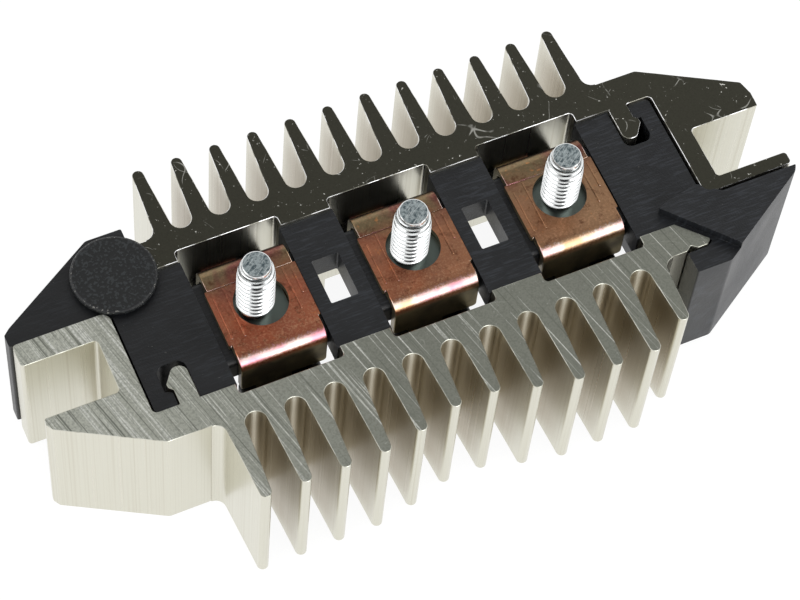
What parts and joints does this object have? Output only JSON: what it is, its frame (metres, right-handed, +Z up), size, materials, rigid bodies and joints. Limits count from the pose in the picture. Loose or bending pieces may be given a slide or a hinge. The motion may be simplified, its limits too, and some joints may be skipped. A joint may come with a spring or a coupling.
{
  "type": "bridge rectifier",
  "caption": "Bridge rectifier with finned aluminium heat sinks hooked onto a black moulded carrier, threaded terminal studs in copper clips, and an open mounting slot at each end.",
  "frame": {"origin": "centre of the bounding box, at the flat bottom of the heat sinks", "axes": "+X along the rectifier, +Y towards the rear sink's fins, +Z up along the studs"},
  "size_m": [0.0936, 0.0444, 0.0287],
  "materials": {
    "aluminium": "sawn and extruded",
    "moulding": "matt moulded black",
    "plug": "grainy matt black",
    "copper": "bare copper, heat tinted",
    "steel": "plated",
    "case": "moulded epoxy",
    "die": "passivated silicon"
  },
  "bodies": {
    "root": {"front_heat_sink": "aluminium", "rear_heat_sink": "aluminium", "insulating_carrier": "moulding", "round_end_plug": "plug", "terminal_clip_left": "copper", "terminal_stud_left": "steel", "terminal_clip_middle": "copper", "terminal_stud_middle": "steel", "terminal_clip_right": "copper", "terminal_stud_right": "steel", "front_diode_case_left": "case", "front_diode_base_left": "copper", "front_diode_die_left": "die", "front_diode_contact_left": "copper", "front_diode_case_middle": "case", "front_diode_base_middle": "copper", "front_diode_die_middle": "die", "front_diode_contact_middle": "copper", "front_diode_case_right": "case", "front_diode_base_right": "copper", "front_diode_die_right": "die", "front_diode_contact_right": "copper", "rear_diode_case_left": "case", "rear_diode_base_left": "copper", "rear_diode_die_left": "die", "rear_diode_contact_left": "copper", "rear_diode_case_middle": "case", "rear_diode_base_middle": "copper", "rear_diode_die_middle": "die", "rear_diode_contact_middle": "copper", "rear_diode_case_right": "case", "rear_diode_base_right": "copper", "rear_diode_die_right": "die", "rear_diode_contact_right": "copper"}
  },
  "joints": []
}
